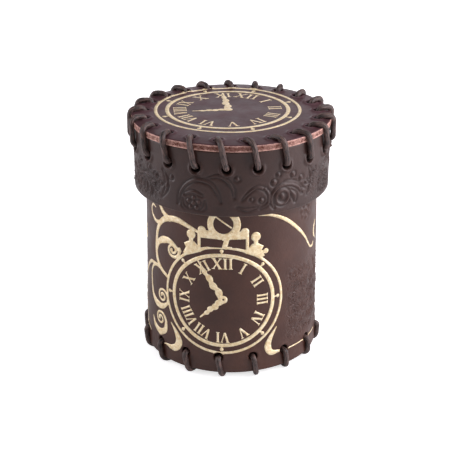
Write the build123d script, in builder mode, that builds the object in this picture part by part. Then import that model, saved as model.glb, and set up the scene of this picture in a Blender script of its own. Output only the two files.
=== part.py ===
"""Laced leather dice cup with a lift-off lid.

Millimetres, +Z up. The origin is on the cup's axis, on the surface that the cup stands on, and the
front of the cup faces -Y. Angles are in degrees, counted from the front towards +X.
"""

from build123d import *
import os
from math import cos, radians, sin

os.makedirs("parts", exist_ok=True)

# ---- Leather, lace and thread ----
leather = 3.2  # thickness of the wall, base, lid band and lid top
edge_round = 0.7  # rounding of the cut edges
lace_d = 2.6  # round leather lace
lace_hole_play = 1.4  # a punched hole is this much wider than the lace
lace_turn = 0.7  # free space inside the lace where it turns round an edge
lace_play = 0.06  # clearance between the lace and the leather
thread_d = 1.0  # waxed thread of the two upright seams
thread_hole_play = 0.6
thread_turn = 0.3
thread_play = 0.06
seam_gap = 0.3  # slit where the two ends of a rolled strip meet

# ---- Cup ----
cup_rim_r = 39.1  # outer radius at the rim
wall_flare = 1.5  # the wall is this much wider at its lower edge
cup_depth = 95.75  # from the top of the base to the rim
base_stitches = 16
base_hole_height = 8.2  # lace holes in the wall, above its lower edge
base_hole_inset = 4.4  # lace holes in the base, in from the wall's inner face
base_first_angle = -8.5  # one wall hole is here
base_lean = 2.2  # how far a loop leans to the right where it passes under the edge
groove_inset = 2.6  # creased line on the underside of the base, in from its lace holes
groove_width = 1.0
groove_depth = 0.4

# ---- Lid ----
lid_fit = 2.2  # free space all round between the cup's rim and the lid band
lid_proud = 0.6  # the top stands proud of the band all round
lid_band_height = 29.6
lid_stitches = 21
lid_hole_drop = 11.2  # lace holes in the band, below the upper face of the lid
lid_hole_inset = 0.8  # the lace through the lid top, in from the band's inner face
lid_first_angle = -2.85
lid_lean = 3.0  # how far a stitch leans to the left where it crosses the edge
lid_seam_stitch = 9  # the lid is turned on the cup, so its seam is not over the cup's
lid_seat_gap = 0.35  # the lacing inside the lid hangs this far above the cup's rim

# ---- Upright seams ----
seam_hole_offset = 4.0  # thread holes, from the seam to each side
cup_seam_rows = 11
cup_seam_low = 9.0  # lowest row, above the lace holes
cup_seam_high = 5.0  # highest row, below the rim
lid_seam_rows = 4
lid_seam_low = 3.6  # lowest row, above the band's lower edge
lid_seam_high = 4.6  # highest row, below the lace holes

# ---- Heights, radii and angles that follow ----
lace_off = lace_d / 2 + lace_play  # middle line of the lace to the leather that it lies on
lace_bend = lace_d / 2 + lace_turn
lace_hole_d = lace_d + lace_hole_play
thread_off = thread_d / 2 + thread_play
thread_bend = thread_d / 2 + thread_turn
thread_hole_d = thread_d + thread_hole_play

wall_z = lace_d + lace_play  # the wall's lower edge stands on the loops of lace
floor_z = wall_z + leather  # upper face of the base
rim_z = floor_z + cup_depth
cup_base_r = cup_rim_r + wall_flare
wall_hole_z = wall_z + base_hole_height
base_hole_r = cup_base_r - leather - base_hole_inset
groove_r = base_hole_r - groove_inset

band_inner_r = cup_rim_r + lid_fit
lid_band_r = band_inner_r + leather
lid_top_r = lid_band_r + lid_proud
band_hole_z = rim_z + lid_seat_gap + lace_d / 2
lid_top_z = band_hole_z + lid_hole_drop
lid_under_z = lid_top_z - leather
band_z = lid_under_z - lid_band_height
lid_hole_r = band_inner_r - lid_hole_inset - lace_d / 2

base_pitch = 360 / base_stitches
lid_pitch = 360 / lid_stitches
base_seam_stitch = base_stitches // 2
cup_seam_angle = base_first_angle + base_pitch * (base_seam_stitch + 0.5)
lid_seam_angle = lid_first_angle + lid_pitch * (lid_seam_stitch + 0.5)


def at(angle, radius, height):
    """A point from its angle, its distance from the axis and its height."""
    return (radius * sin(radians(angle)), -radius * cos(radians(angle)), height)


def facing_out(angle, radius, height):
    """A plane that looks straight out from the axis, for a hole through a wall."""
    return Plane(origin=at(angle, radius, height), x_dir=(0, 0, 1), z_dir=at(angle, 1, 0))


def cup_outer_r(height):
    """Outer radius of the narrowing cup wall at a height."""
    share = (height - wall_z) / (rim_z - wall_z)
    return cup_base_r + share * (cup_rim_r - cup_base_r)


def spaced(low, high, count):
    """Heights from low to high, evenly spaced."""
    step = (high - low) / (count - 1)
    return [low + step * row for row in range(count)]


# ---- Places of the holes ----
wall_hole_angles = [base_first_angle + base_pitch * n for n in range(base_stitches)]
base_hole_angles = [angle + 2 * base_lean for angle in wall_hole_angles]
band_hole_angles = [lid_first_angle + lid_pitch * n for n in range(lid_stitches)]
top_hole_angles = [angle - 2 * lid_lean for angle in band_hole_angles]
cup_seam_heights = spaced(wall_hole_z + cup_seam_low, rim_z - cup_seam_high, cup_seam_rows)
lid_seam_heights = spaced(band_z + lid_seam_low, band_hole_z - lid_seam_high, lid_seam_rows)
punch_reach = 2 * leather  # length of a punch that goes right through


def seam_holes(seam_angle, outer_r, heights):
    """Planes of the thread holes on both sides of a seam."""
    planes = []
    for height in heights:
        radius = outer_r(height)
        turn = Vector(0, -radius, 0).get_angle(Vector(seam_hole_offset, -radius, 0))
        for side in (-1, 1):
            planes.append(facing_out(seam_angle + side * turn, radius + leather / 2, height))
    return planes


def seam_route(seam_angle, outer_r, heights):
    """The thread's way up a seam: a slanted stitch outside, then straight across inside."""
    route = []
    for height in heights:
        radius = outer_r(height)
        turn = Vector(0, -radius, 0).get_angle(Vector(seam_hole_offset, -radius, 0))
        crown = radius - radius * cos(radians(turn))  # the wall bulges between two holes
        outside = radius + thread_off + crown
        inside = radius - leather - thread_off
        route.append(at(seam_angle + turn, outside, height))
        route.append(at(seam_angle + turn, inside, height))
        route.append(at(seam_angle - turn, inside, height))
        route.append(at(seam_angle - turn, outside, height))
    return route[1:-1]


# ---- Cup wall: one strip rolled into a tube, its ends meeting at the back ----
with BuildPart() as cup_wall:
    with BuildSketch(Plane.XZ) as wall_section:
        with BuildLine():
            Polyline(
                (cup_base_r - leather, wall_z),
                (cup_base_r, wall_z),
                (cup_rim_r, rim_z),
                (cup_rim_r - leather, rim_z),
                close=True,
            )
        make_face()
        fillet(wall_section.vertices(), radius=edge_round)
    revolve(axis=Axis.Z)
    with Locations(*[facing_out(a, cup_base_r + leather / 2, wall_hole_z) for a in wall_hole_angles]):
        Hole(lace_hole_d / 2, depth=punch_reach)
    with Locations(*seam_holes(cup_seam_angle, cup_outer_r, cup_seam_heights)):
        Hole(thread_hole_d / 2, depth=punch_reach)
    with Locations(facing_out(cup_seam_angle, cup_base_r, (wall_z + rim_z) / 2)):
        Box(2 * rim_z, seam_gap, 4 * leather, mode=Mode.SUBTRACT)
cup_wall.part.label = "cup_wall"
export_step(cup_wall.part, "parts/cup_wall.step")

# ---- Cup base: a disc let into the lower end of the wall ----
with BuildPart() as cup_base:
    with BuildSketch(Plane.XZ) as base_section:
        with BuildLine():
            Polyline(
                (0, wall_z),
                (cup_outer_r(wall_z) - leather, wall_z),
                (cup_outer_r(floor_z) - leather, floor_z),
                (0, floor_z),
                close=True,
            )
        make_face()
        fillet(base_section.vertices().group_by(Axis.X)[-1], radius=edge_round)
    revolve(axis=Axis.Z)
    with Locations(*[at(angle, base_hole_r, floor_z) for angle in base_hole_angles]):
        Hole(lace_hole_d / 2, depth=punch_reach)
    with BuildSketch(Plane.XY.offset(wall_z)):
        Circle(groove_r + groove_width / 2)
        Circle(groove_r - groove_width / 2, mode=Mode.SUBTRACT)
    extrude(amount=groove_depth, mode=Mode.SUBTRACT)
cup_base.part.label = "cup_base"
export_step(cup_base.part, "parts/cup_base.step")

# ---- Base lace: out of the wall, down, under its edge, up through the base, on to the next hole ----
lace_low_z = lace_d / 2
base_route = []
first = base_seam_stitch + 1  # the cord starts and ends beside the seam at the back
for stitch in range(first, first + base_stitches):
    wall_angle = base_first_angle + base_pitch * stitch
    base_angle = wall_angle + 2 * base_lean
    base_route.append(at(wall_angle, cup_outer_r(wall_hole_z) - leather - lace_off, wall_hole_z))
    base_route.append(at(wall_angle, cup_outer_r(wall_hole_z) + lace_off, wall_hole_z))
    base_route.append(at(wall_angle + base_lean, cup_base_r + lace_off, lace_low_z))
    base_route.append(at(base_angle, base_hole_r, lace_low_z))
    base_route.append(at(base_angle, base_hole_r, floor_z + lace_off))
lace_tail = 0.4  # share of the last inside run that the cord's end takes
last_end = Vector(*base_route[-1])
base_route.append(last_end + (Vector(*base_route[0]) - last_end) * lace_tail)
base_start = Vector(*base_route[0])
base_route.insert(0, base_start + (last_end - base_start) * lace_tail)

with BuildPart() as base_lace:
    with BuildLine() as base_lace_line:
        FilletPolyline(*base_route, radius=lace_bend)
    with BuildSketch(Plane(base_lace_line.line ^ 0)):
        Circle(lace_d / 2)
    sweep(path=base_lace_line.line)
base_lace.part.label = "base_lace"
export_step(base_lace.part, "parts/base_lace.step")

# ---- Cup seam thread ----
cup_thread_route = seam_route(cup_seam_angle, cup_outer_r, cup_seam_heights)
with BuildPart() as cup_seam_thread:
    with BuildLine() as cup_thread_line:
        FilletPolyline(*cup_thread_route, radius=thread_bend)
    with BuildSketch(Plane(cup_thread_line.line ^ 0)):
        Circle(thread_d / 2)
    sweep(path=cup_thread_line.line)
cup_seam_thread.part.label = "cup_seam_thread"
export_step(cup_seam_thread.part, "parts/cup_seam_thread.step")


def band_outer_r(height):
    """Outer radius of the lid band, which is the same at every height."""
    return lid_band_r


# ---- Lid band: a rolled strip that slides down over the cup's rim ----
with BuildPart() as lid_band:
    with BuildSketch(Plane.XZ) as band_section:
        with BuildLine():
            Polyline(
                (band_inner_r, band_z),
                (lid_band_r, band_z),
                (lid_band_r, lid_under_z),
                (band_inner_r, lid_under_z),
                close=True,
            )
        make_face()
        fillet(band_section.vertices().group_by(Axis.Y)[0], radius=edge_round)
    revolve(axis=Axis.Z)
    with Locations(*[facing_out(a, lid_band_r + leather / 2, band_hole_z) for a in band_hole_angles]):
        Hole(lace_hole_d / 2, depth=punch_reach)
    with Locations(*seam_holes(lid_seam_angle, band_outer_r, lid_seam_heights)):
        Hole(thread_hole_d / 2, depth=punch_reach)
    with Locations(facing_out(lid_seam_angle, lid_band_r, (band_z + lid_under_z) / 2)):
        Box(2 * lid_band_height, seam_gap, 4 * leather, mode=Mode.SUBTRACT)
lid_band.part.label = "lid_band"
export_step(lid_band.part, "parts/lid_band.step")

# ---- Lid top: a disc laced onto the band ----
with BuildPart() as lid_top:
    with BuildSketch(Plane.XY.offset(lid_under_z)):
        Circle(lid_top_r)
    extrude(amount=leather)
    fillet(lid_top.edges(), radius=edge_round)
    with Locations(*[at(angle, lid_hole_r, lid_top_z) for angle in top_hole_angles]):
        Hole(lace_hole_d / 2, depth=punch_reach)
lid_top.part.label = "lid_top"
export_step(lid_top.part, "parts/lid_top.step")

# ---- Lid lace: up through the top, over its edge, down, in through the band, on to the next hole ----
lid_route = []
first = lid_seam_stitch + 1  # the cord starts and ends beside the lid's seam
for stitch in range(first, first + lid_stitches):
    band_angle = lid_first_angle + lid_pitch * stitch
    top_angle = band_angle - 2 * lid_lean
    lid_route.append(at(top_angle, lid_hole_r, lid_under_z - lace_off))
    lid_route.append(at(top_angle, lid_hole_r, lid_top_z + lace_off))
    lid_route.append(at(band_angle - lid_lean, lid_top_r + lace_off, lid_top_z + lace_off))
    lid_route.append(at(band_angle, lid_top_r + lace_off, band_hole_z))
    lid_route.append(at(band_angle, band_inner_r - lace_off, band_hole_z))
last_end = Vector(*lid_route[-1])
lid_start = Vector(*lid_route[0])
lid_route.append(last_end + (lid_start - last_end) * lace_tail)
lid_route.insert(0, lid_start + (last_end - lid_start) * lace_tail)

with BuildPart() as lid_lace:
    with BuildLine() as lid_lace_line:
        FilletPolyline(*lid_route, radius=lace_bend)
    with BuildSketch(Plane(lid_lace_line.line ^ 0)):
        Circle(lace_d / 2)
    sweep(path=lid_lace_line.line)
lid_lace.part.label = "lid_lace"
export_step(lid_lace.part, "parts/lid_lace.step")

# ---- Lid seam thread ----
lid_thread_route = seam_route(lid_seam_angle, band_outer_r, lid_seam_heights)
with BuildPart() as lid_seam_thread:
    with BuildLine() as lid_thread_line:
        FilletPolyline(*lid_thread_route, radius=thread_bend)
    with BuildSketch(Plane(lid_thread_line.line ^ 0)):
        Circle(thread_d / 2)
    sweep(path=lid_thread_line.line)
lid_seam_thread.part.label = "lid_seam_thread"
export_step(lid_seam_thread.part, "parts/lid_seam_thread.step")
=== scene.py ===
"""Looks of the laced leather dice cup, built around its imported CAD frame.

Lengths are in millimetres until a mesh is made. Angles are counted from the front (-Y) towards +X.
A leather sheet is described by a flat plan: (distance round the cup, height) on the wall and the
band, (x, y) on the base and the lid top. Gold foil and embossing are drawn on the same plans.
"""

import math

import bmesh
import bpy
import numpy as np
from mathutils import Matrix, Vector
from mathutils.geometry import delaunay_2d_cdt


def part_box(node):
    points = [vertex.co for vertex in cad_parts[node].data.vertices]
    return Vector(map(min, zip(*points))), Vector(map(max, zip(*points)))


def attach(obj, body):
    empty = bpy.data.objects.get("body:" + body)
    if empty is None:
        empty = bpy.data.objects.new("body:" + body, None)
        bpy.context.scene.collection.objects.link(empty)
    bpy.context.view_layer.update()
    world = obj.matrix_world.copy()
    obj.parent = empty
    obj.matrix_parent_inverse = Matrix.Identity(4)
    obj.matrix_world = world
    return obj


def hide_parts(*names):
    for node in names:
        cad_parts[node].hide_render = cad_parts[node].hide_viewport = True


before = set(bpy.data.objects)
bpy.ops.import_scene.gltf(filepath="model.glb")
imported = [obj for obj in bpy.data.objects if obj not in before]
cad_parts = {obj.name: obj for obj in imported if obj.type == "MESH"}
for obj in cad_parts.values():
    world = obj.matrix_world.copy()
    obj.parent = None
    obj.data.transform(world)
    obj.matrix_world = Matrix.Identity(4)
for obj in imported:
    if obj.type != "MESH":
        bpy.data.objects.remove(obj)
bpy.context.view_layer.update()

MM = 0.001
TURN = 2 * math.pi


def outline_of(node):
    """Outer radius, lowest and highest point of a CAD node, in millimetres."""
    low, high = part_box(node)
    return high.x / MM, low.z / MM, high.z / MM


# ---- Leather, lace and seams ----
leather = 3.2
edge_round = 0.7
lace_r = 1.3
lace_off = 1.36  # middle line of the lace to the leather that it lies on
lace_pull = 0.5  # how far a stitch pulls the lace to one side of its hole
lace_hole_r = 2.0
thread_hole_r = 0.8
hole_lip = 0.18  # how far the rounded lip reaches past a hole, in shares of its radius
seam_gap = 0.3
seam_hole_offset = 4.0  # thread holes, from the seam to each side
foil_depths = (-0.045, 0.06)  # front and back of the foil, from the leather's face inwards

# ---- Sizes that follow from the frame ----
cup_base_r, wall_low, rim_z = outline_of("cup_wall")
lid_band_r, band_low, lid_under = outline_of("lid_band")
lid_top_r, _, lid_high = outline_of("lid_top")
base_r = outline_of("cup_base")[0]
wall_flare = 1.5  # the wall is this much wider at its lower edge
cup_rim_r = cup_base_r - wall_flare
floor_z = wall_low + leather
wall_hole_z = wall_low + 8.2
band_hole_z = lid_high - 11.2
base_hole_r = cup_base_r - leather - 4.4
lid_hole_r = lid_band_r - leather - 0.8 - lace_r
groove_r = base_hole_r - 2.6
cup_plan_r = 40.0  # the wall's plan is unrolled at this radius

# ---- Stitches ----
base_stitches = 16
base_pitch = 360 / base_stitches
base_first_angle = -8.5
base_lean = 2.2
base_seam_stitch = 8
lid_stitches = 21
lid_pitch = 360 / lid_stitches
lid_first_angle = -2.85
lid_lean = 3.0
lid_seam_stitch = 9
wall_hole_angles = [base_first_angle + base_pitch * n for n in range(base_stitches)]
base_hole_angles = [angle + 2 * base_lean for angle in wall_hole_angles]
band_hole_angles = [lid_first_angle + lid_pitch * n for n in range(lid_stitches)]
lid_hole_angles = [angle - 2 * lid_lean for angle in band_hole_angles]
cup_seam_angle = base_first_angle + base_pitch * (base_seam_stitch + 0.5)
lid_seam_angle = lid_first_angle + lid_pitch * (lid_seam_stitch + 0.5)
cup_seam_heights = np.linspace(wall_hole_z + 9.0, rim_z - 5.0, 11)
lid_seam_heights = np.linspace(band_low + 3.6, band_hole_z - 4.6, 4)


# ---- Camera ----
def placed(name, data):
    """A new object in the scene."""
    thing = bpy.data.objects.new(name, data)
    bpy.context.scene.collection.objects.link(thing)
    return thing


def add_camera():
    """The camera at the photograph's distance, height and tilt."""
    camera = placed("camera", bpy.data.cameras.new("camera"))
    camera.location = (-1.577 * MM, -491.2 * MM, 272.26 * MM)
    camera.rotation_euler = (math.radians(90 - 23.635), 0, 0)
    camera.data.lens = 89.95
    camera.data.sensor_width = 36
    camera.data.clip_start = 0.01
    bpy.context.scene.camera = camera


add_camera()


# ---- Small helpers ----
def polar(angle, radius, height):
    """Points from angles in radians, distances from the axis and heights."""
    parts = np.broadcast_arrays(radius * np.sin(angle), -radius * np.cos(angle), height)
    return np.stack(parts, -1)


def wall_outer(height):
    """Outer radius of the narrowing cup wall."""
    share = (height - wall_low) / (rim_z - wall_low)
    return cup_base_r + share * (cup_rim_r - cup_base_r)


def band_outer(height):
    """Outer radius of the lid band."""
    return lid_band_r + 0 * height


def noise(x, y, size, seed):
    """Smooth random values from -1 to 1, one for each square of the given size."""
    table = np.random.default_rng(seed).uniform(-1, 1, (257, 257))
    column, row = np.floor(x / size), np.floor(y / size)
    across, up = x / size - column, y / size - row
    across, up = across * across * (3 - 2 * across), up * up * (3 - 2 * up)
    column, row = column.astype(int) % 256, row.astype(int) % 256
    low = table[column, row] * (1 - across) + table[column + 1, row] * across
    high = table[column, row + 1] * (1 - across) + table[column + 1, row + 1] * across
    return low * (1 - up) + high * up


def make_object(name, points, faces, material, body, replaced=()):
    """A mesh piece that rides on a body. Points come in millimetres."""
    mesh = bpy.data.meshes.new(name)
    mesh.from_pydata((np.asarray(points) * MM).tolist(), [], faces)
    shape = bmesh.new()
    shape.from_mesh(mesh)
    bmesh.ops.recalc_face_normals(shape, faces=shape.faces)
    shape.to_mesh(mesh)
    shape.free()
    mesh.polygons.foreach_set("use_smooth", [len(face.vertices) < 9 for face in mesh.polygons])
    mesh.materials.append(material)
    piece = placed(name, mesh)
    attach(piece, body)
    if replaced:
        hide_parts(*replaced)
    return piece


def add_attribute(piece, name, values, kind="FLOAT"):
    """Values at the vertices that a material reads."""
    attribute = piece.data.attributes.new(name, kind, "POINT")
    key = "value" if kind == "FLOAT" else "vector"
    attribute.data.foreach_set(key, np.asarray(values, np.float32).ravel())


# ---- Drawing: shapes as signed distances on a plan ----
def from_line(px, py, start, end):
    """Where points lie beside a line: the share of its length, from 0 to 1, and the distance."""
    ex, ey = end[0] - start[0], end[1] - start[1]
    share = ((px - start[0]) * ex + (py - start[1]) * ey) / (ex * ex + ey * ey + 1e-12)
    share = np.clip(share, 0, 1)
    return share, np.hypot(px - start[0] - share * ex, py - start[1] - share * ey)


def disc(x, y, radius):
    """A filled circle."""

    def distance(px, py):
        return np.hypot(px - x, py - y) - radius

    return distance, (x - radius, y - radius, x + radius, y + radius)


def ring(x, y, wide, tall, width):
    """An elliptical ring with the given middle radii."""

    def distance(px, py):
        dx, dy = px - x, py - y
        level = np.hypot(dx / wide, dy / tall) + 1e-9
        slope = np.hypot(dx / wide**2, dy / tall**2) / level + 1e-9
        return np.abs((level - 1) / slope) - width / 2

    return distance, (x - wide - width, y - tall - width, x + wide + width, y + tall + width)


def stroke(points, half_widths):
    """A rounded line through points, its half width changing along it."""
    points = np.asarray(points, float)
    widths = np.interp(np.linspace(0, 1, len(points)), np.linspace(0, 1, len(half_widths)), half_widths)

    def distance(px, py):
        best = np.full(px.shape, 1e9)
        for start, end, first, last in zip(points[:-1], points[1:], widths[:-1], widths[1:]):
            share, gap = from_line(px, py, start, end)
            best = np.minimum(best, gap - first - share * (last - first))
        return best

    reach = widths.max()
    low, high = points.min(0) - reach, points.max(0) + reach
    return distance, (low[0], low[1], high[0], high[1])


def bar(start, end, half_width):
    """A straight bar with square ends."""
    start, end = np.asarray(start, float), np.asarray(end, float)
    middle, half_length = (start + end) / 2, np.linalg.norm(end - start) / 2
    ex, ey = (end - start) / (2 * half_length)

    def distance(px, py):
        dx, dy = px - middle[0], py - middle[1]
        along = np.abs(dx * ex + dy * ey) - half_length
        aside = np.abs(dx * ey - dy * ex) - half_width
        return np.hypot(np.maximum(along, 0), np.maximum(aside, 0)) + np.minimum(np.maximum(along, aside), 0)

    reach = half_length + half_width
    return distance, (middle[0] - reach, middle[1] - reach, middle[0] + reach, middle[1] + reach)


def polygon(corners):
    """A filled outline with straight sides."""
    corners = np.asarray(corners, float)

    def distance(px, py):
        best = np.full(px.shape, 1e9)
        inside = np.zeros(px.shape, bool)
        for start, end in zip(corners, np.roll(corners, -1, 0)):
            best = np.minimum(best, from_line(px, py, start, end)[1])
            ex, ey = end - start
            crosses = (start[1] > py) != (end[1] > py)
            inside ^= crosses & (px < start[0] + (py - start[1]) * ex / (ey if ey else 1e-12))
        return np.where(inside, -best, best)

    low, high = corners.min(0), corners.max(0)
    return distance, (low[0], low[1], high[0], high[1])


def smooth_line(points, steps=8):
    """More points on a smooth curve through the given ones."""
    points = np.asarray(points, float)
    padded = np.vstack([2 * points[0] - points[1], points, 2 * points[-1] - points[-2]])
    line = []
    for a, b, c, d in zip(padded[:-3], padded[1:-2], padded[2:-1], padded[3:]):
        for share in np.arange(steps) / steps:
            bend = (2 * a - 5 * b + 4 * c - d) * share**2 + (3 * b - a - 3 * c + d) * share**3
            line.append(b + 0.5 * ((c - a) * share + bend))
    return np.array(line + [points[-1]])


def swing(points, half_widths):
    """A smooth tapered stroke through a few points."""
    return stroke(smooth_line(points), half_widths)


def spiral(x, y, radius, start, turns, half_widths, inner=0.9):
    """A tapered spiral from its outer end inwards. Turns below zero run clockwise."""
    share = np.linspace(0, 1, int(26 * abs(turns)) + 2)
    reach = radius + (inner - radius) * share**0.8
    angle = math.radians(start) + share * turns * TURN
    return stroke(np.stack([x + reach * np.cos(angle), y + reach * np.sin(angle)], -1), half_widths)


def near(px, py, box, margin):
    """Which points lie in a box grown by a margin."""
    return (px > box[0] - margin) & (px < box[2] + margin) & (py > box[1] - margin) & (py < box[3] + margin)


def drawn(px, py, added, cut=(), reach=1.5):
    """Signed distance to the drawing, below zero inside it."""
    field = np.full(px.shape, reach)
    for shapes, sign in ((added, 1), (cut, -1)):
        for distance, box in shapes:
            here = near(px, py, box, reach)
            values = distance(px[here], py[here])
            field[here] = np.minimum(field[here], values) if sign > 0 else np.maximum(field[here], -values)
    return field


def embossed(px, py, shapes, dome, groove, soft=0.9, line=0.5):
    """Height of embossed shapes: each swells inside its outline and has a pressed line round it."""
    swell, pressed = np.zeros(px.shape), np.zeros(px.shape)
    for distance, box in shapes:
        here = near(px, py, box, 3 * line)
        values = distance(px[here], py[here])
        swell[here] = np.maximum(swell[here], dome * (1 - np.exp(np.minimum(values, 0) / soft)))
        pressed[here] = np.maximum(pressed[here], groove * np.exp(-((values / line) ** 2)))
    return swell - pressed


# ---- Roman numerals and clock faces ----
GLYPHS = {  # strokes as (top x, bottom x, thick), and the width, in shares of the height
    "I": ([(0, 0, True)], 0.44),
    "V": ([(-0.29, 0.02, True), (0.29, 0.02, False)], 0.86),
    "X": ([(-0.28, 0.28, True), (0.28, -0.28, False)], 0.88),
}
NUMERALS = {  # width of each, in shares of the height
    "XII": 1.94, "I": 0.46, "II": 0.88, "III": 1.1, "IV": 1.26, "V": 0.86, "VI": 1.22, "VII": 1.56,
    "VIII": 1.8, "IX": 1.18, "X": 0.9, "XI": 1.3,
}


def numeral(text, x, y, up, height, width, weight):
    """A numeral with serifs, centred on (x, y), its top towards a direction."""
    up = np.asarray(up, float)
    right = np.array([up[1], -up[0]])
    total = sum(GLYPHS[letter][1] for letter in text)
    narrow = width / (total * height)
    centre = np.array([x, y])
    shapes = []
    left = -total / 2

    def place(across, rise):
        return centre + across * narrow * height * right + rise * height * up

    for letter in text:
        strokes, letter_width = GLYPHS[letter]
        middle = left + letter_width / 2
        left += letter_width
        for top, bottom, thick in strokes:
            half = (0.095 if thick else 0.045) * weight * height * (0.5 + 0.5 * narrow)
            shapes.append(bar(place(middle + top, 0.48), place(middle + bottom, -0.48), half))
            ends = [(top, 0.48)] if letter == "V" else [(top, 0.48), (bottom, -0.48)]
            for across, rise in ends:
                reach = 0.17 if thick else 0.13
                tip_a = place(middle + across - reach, rise)
                tip_b = place(middle + across + reach, rise)
                shapes.append(bar(tip_a, tip_b, 0.034 * weight * height))
    return shapes


def clock_numerals(x, y, radius, height, weight, twelve):
    """Twelve numerals, tops outwards. Twelve is at the given angle, counted from +y towards +x."""
    shapes = []
    for hour, (text, width) in enumerate(NUMERALS.items()):
        angle = math.radians(twelve + 30 * hour)
        up = (math.sin(angle), math.cos(angle))
        middle = (x + radius * up[0], y + radius * up[1])
        shapes += numeral(text, *middle, up, height, width * height, weight)
    return shapes


def clock_hand(hub, tip, width):
    """A hand with a wavy blade that ends in a thin point."""
    hub, tip = np.asarray(hub, float), np.asarray(tip, float)
    blade = [1.2, 0.75, 1.15, 0.6, 1.15, 0.65, 1.05, 0.5, 0.8, 0.32, 0.28, 0.22]
    way = (tip - hub) / np.linalg.norm(tip - hub)
    aside = np.array([-way[1], way[0]])
    points = []
    for share in np.linspace(0, 1, 4 * len(blade)):
        sway = 0.35 * width * math.sin(3.2 * TURN * share) * (1 - share)
        points.append(hub + (tip - hub) * share + aside * sway)
    return stroke(points, [width * share for share in blade])


def dial_dots(x, y, wide, tall, radius, stem, twelve):
    """Eight dots between the two rings, each on a short stem."""
    shapes = []
    for n in range(8):
        angle = math.radians(twelve + 45 * n)
        sx, sy = math.sin(angle), math.cos(angle)
        dot = (x + wide * sx, y + tall * sy)
        foot = (x + (wide - stem) * sx, y + (tall - stem) * sy)
        shapes += [disc(*dot, radius), stroke([dot, foot], [0.45 * radius, 0.45 * radius])]
    return shapes


# ---- The gold drawing on the lid ----
def lid_drawing():
    """A clock face, a little off the lid's middle and turned with the lid."""
    x, y, twelve = -1.7, 4.1, 24.0
    hub = (x + 0.3, y - 0.2)
    minute_way, hour_way = math.radians(-6.0), math.radians(-98.5)
    minute = (hub[0] + 25 * math.sin(minute_way), hub[1] + 25 * math.cos(minute_way))
    hour = (hub[0] + 16.4 * math.sin(hour_way), hub[1] + 16.4 * math.cos(hour_way))
    shapes = [ring(x, y, 32.7, 32.6, 1.45), ring(x, y, 27.5, 27.3, 1.8), disc(*hub, 1.8)]
    shapes += dial_dots(x, y, 30.2, 30.2, 0.95, 1.4, twelve)
    shapes += clock_numerals(x, y, 21.6, 5.9, 0.78, twelve)
    return shapes + [clock_hand(hub, minute, 1.6), clock_hand(hub, hour, 1.2)]


# ---- The gold drawing on the cup wall ----
def front_dial():
    """The clock face on the front of the cup."""
    x, y = -4.4, 39.1
    hub = (-3.7, 39.9)
    shapes = [ring(x, y, 28.1, 26.0, 1.25), ring(x, y, 23.7, 22.2, 1.75), disc(*hub, 1.9)]
    shapes += dial_dots(x, y, 26.3, 24.3, 0.85, 1.3, 0)
    shapes += clock_numerals(x + 0.3, y, 18.2, 5.1, 1.0, 0)
    shapes += [clock_hand(hub, (-15.6, 58.0), 1.5), clock_hand(hub, (-14.2, 30.2), 1.35)]
    return shapes, [disc(*hub, 0.5)]


def crown():
    """The bow, frame and finials that stand on the clock face."""
    shapes = [disc(-3.4, 75.9, 7.5)]
    cut = [disc(-3.7, 76.1, 4.5)]
    shapes += [bar((-15.4, 70.9), (7.6, 70.9), 1.9), disc(-13.5, 72.6, 1.9), disc(5.9, 72.4, 1.9)]
    shapes += [bar((-14.8, 71), (-14.8, 62), 0.7), bar((7.0, 71), (7.0, 62), 0.7)]
    shapes.append(bar((-1.2, 72), (-3.4, 64.5), 1.1))
    for x, side in ((-18.7, 1), (10.9, -1)):
        shapes += [disc(x, 69.8, 2.2), bar((x, 69), (x, 65), 1.0)]
        shoulder = [(x - 3.7 * side, 65.0), (x - 1.3 * side, 66.4), (x + 1.6 * side, 66.6)]
        shoulder += [(x + 3.4 * side, 64.8), (x + 6.6 * side, 63.4), (x + 4.5 * side, 62.2)]
        shoulder += [(x - 2.0 * side, 59.4), (x - 4.3 * side, 60.2), (x - 2.7 * side, 63.2)]
        shapes.append(polygon(shoulder))
    shapes += [disc(15.6, 62.4, 1.25), bar((15.6, 62.4), (11.5, 61.6), 0.8)]
    bow_line = stroke([(-8.0, 80.2), (-0.2, 74.6)], [0.34, 0.34])
    return shapes, cut, [bow_line]


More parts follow.
